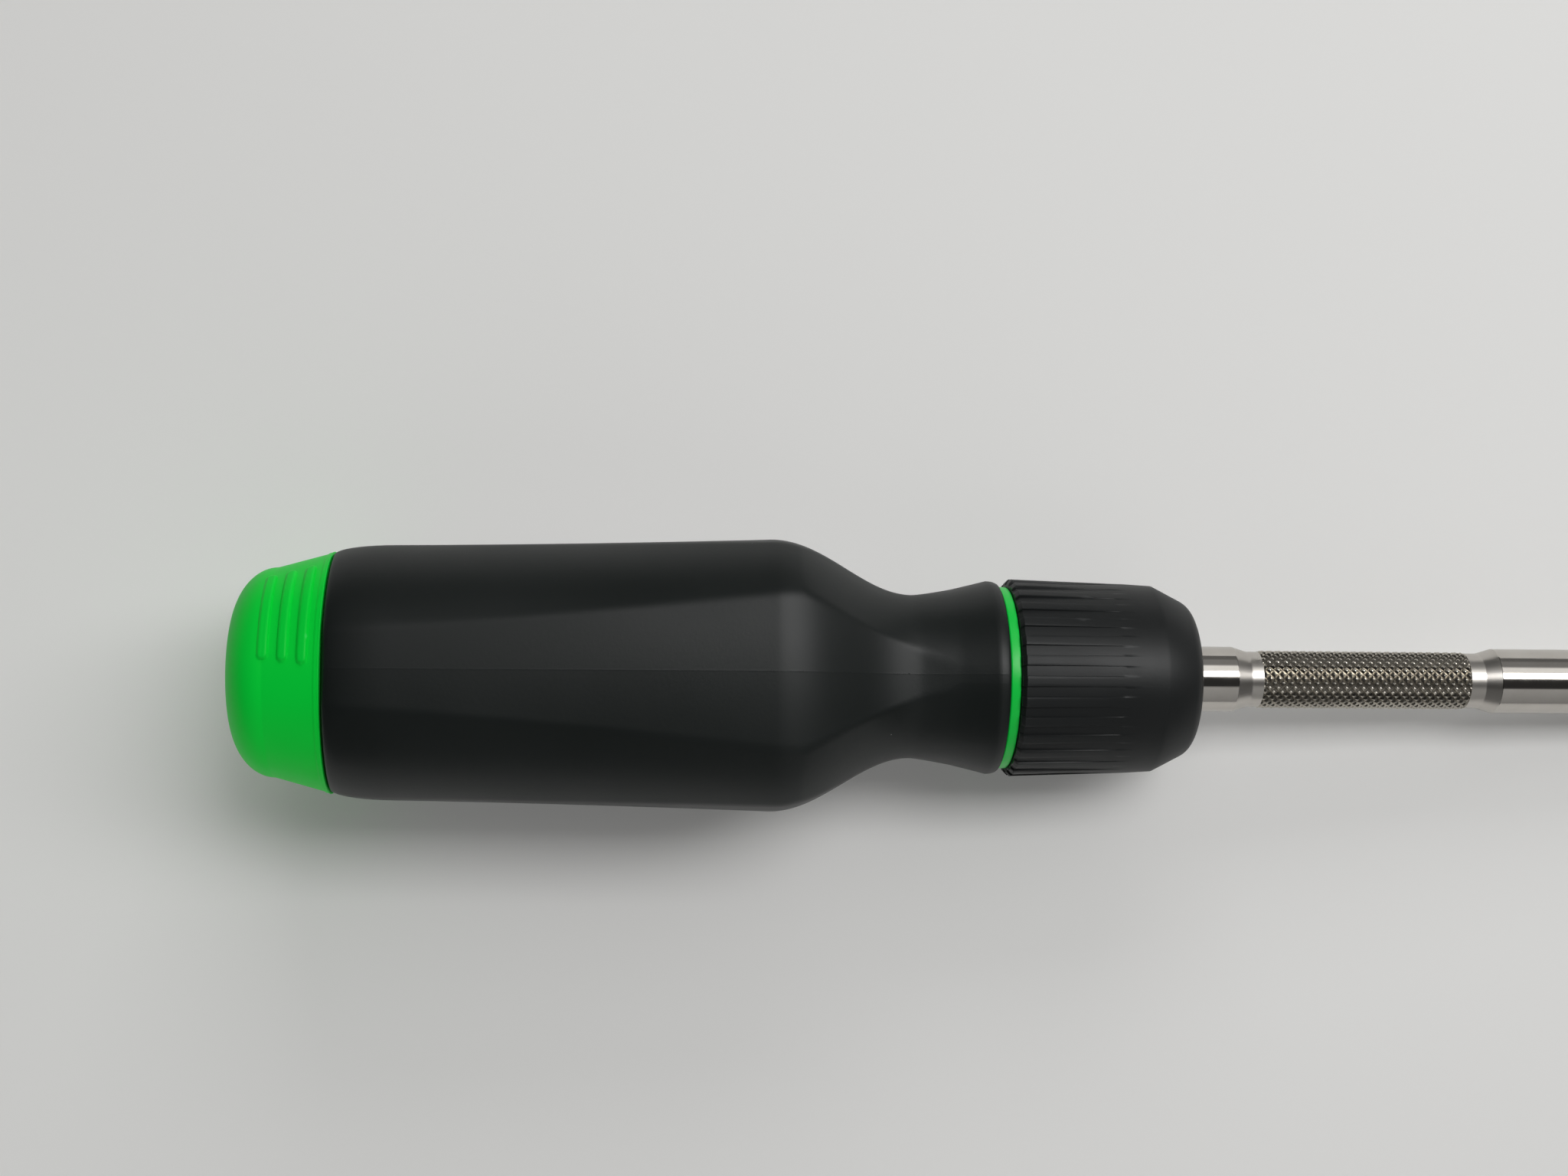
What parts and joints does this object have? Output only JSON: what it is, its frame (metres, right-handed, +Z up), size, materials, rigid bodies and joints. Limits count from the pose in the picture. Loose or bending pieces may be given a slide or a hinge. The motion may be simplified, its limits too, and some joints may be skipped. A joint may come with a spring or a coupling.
{
  "type": "ratcheting screwdriver",
  "caption": "Ratcheting screwdriver with a faceted grip, a fluted selector collar, a knurled finger-spin shaft for hexagonal bits, and bits stored under a pull-out cap.",
  "frame": {"origin": "centre of the bit socket's mouth, on the shaft's axis", "axes": "+X along the shaft toward the bit's tip; +Z up, out of the middle of the grip's upper facet; +Y out of the facet that lies a quarter turn to the left of it, seen from above with +X to the right it points up the picture"},
  "size_m": [0.237, 0.036, 0.036],
  "materials": {
    "cap_green": "satin moulded, bright green",
    "ring_green": "satin moulded, bright green",
    "grip_black": "satin black with a fine moulded grain",
    "collar_black": "satin black",
    "carrier_black": "plain moulded black",
    "seal_rubber": "smooth",
    "shaft_bright": "polished and plated, knurled in the finger-spin section",
    "bit_steel": "hardened, satin",
    "cast_grey": "pressed and sintered, fine grain",
    "bush_bronze": "sintered bronze",
    "pin_steel": "ground",
    "hardened_steel": "hardened, dark satin",
    "spring_steel": "drawn wire and stamped strip",
    "ball_steel": "polished",
    "magnet_nickel": "nickel plated"
  },
  "bodies": {
    "handle": {"grip_body": "grip_black", "accent_ring": "ring_green", "ratchet_housing": "cast_grey", "housing_cover": "cast_grey", "cover_pins": "pin_steel", "rear_bush": "bush_bronze", "thrust_washer": "bush_bronze", "front_bushing": "bush_bronze", "pawl_pins": "pin_steel", "upper_pawl_spring": "spring_steel", "lower_pawl_spring": "spring_steel", "detent_spring": "spring_steel", "collar_retainer": "spring_steel"},
    "selector": {"selector_collar": "collar_black", "cam_ring": "hardened_steel"},
    "shaft": {"drive_shaft": "shaft_bright", "ratchet_gear": "hardened_steel", "shaft_clip": "spring_steel", "bit_magnet": "magnet_nickel"},
    "upper_pawl": {"upper_pawl": "hardened_steel"},
    "lower_pawl": {"lower_pawl": "hardened_steel"},
    "detent": {"detent_ball": "ball_steel"},
    "cap": {"end_cap": "cap_green", "bit_carrier": "carrier_black", "carrier_seal": "seal_rubber", "stored_slot_small": "bit_steel", "stored_slot_large": "bit_steel", "stored_cross_small": "bit_steel", "stored_cross_large": "bit_steel", "stored_square": "bit_steel", "stored_star": "bit_steel"},
    "bit": {"driver_bit": "bit_steel"}
  },
  "joints": [
    {"name": "selector_turn", "type": "hinge", "parent": "handle", "child": "selector", "pos_m": [-0.11, 0, 0], "axis": [1, 0, 0], "range_deg": [-20, 20]},
    {"name": "shaft_spin", "type": "hinge", "parent": "handle", "child": "shaft", "pos_m": [-0.11, 0, 0], "axis": [1, 0, 0], "continuous": true},
    {"name": "upper_pawl_lift", "type": "hinge", "parent": "handle", "child": "upper_pawl", "pos_m": [-0.11638, 0.00251, 0.00802], "axis": [-1, 0, 0], "range_deg": [0, 12], "stiffness_Nm_per_rad": 0.008, "springref_deg": -17.19, "deforming": ["upper_pawl_spring"]},
    {"name": "lower_pawl_lift", "type": "hinge", "parent": "handle", "child": "lower_pawl", "pos_m": [-0.11638, 0.00251, -0.00802], "axis": [1, 0, 0], "range_deg": [0, 12], "stiffness_Nm_per_rad": 0.008, "springref_deg": -17.19, "deforming": ["lower_pawl_spring"]},
    {"name": "detent_slide", "type": "slide", "parent": "handle", "child": "detent", "axis": [0, 0, 1], "range_m": [0, 0.00045], "stiffness_N_per_m": 300, "springref_m": 0.0015, "deforming": ["detent_spring"]},
    {"name": "cap_slide", "type": "slide", "parent": "handle", "child": "cap", "axis": [-1, 0, 0], "range_m": [0, 0.036]},
    {"name": "bit_pull", "type": "slide", "parent": "shaft", "child": "bit", "axis": [1, 0, 0], "range_m": [0, 0.014]}
  ]
}
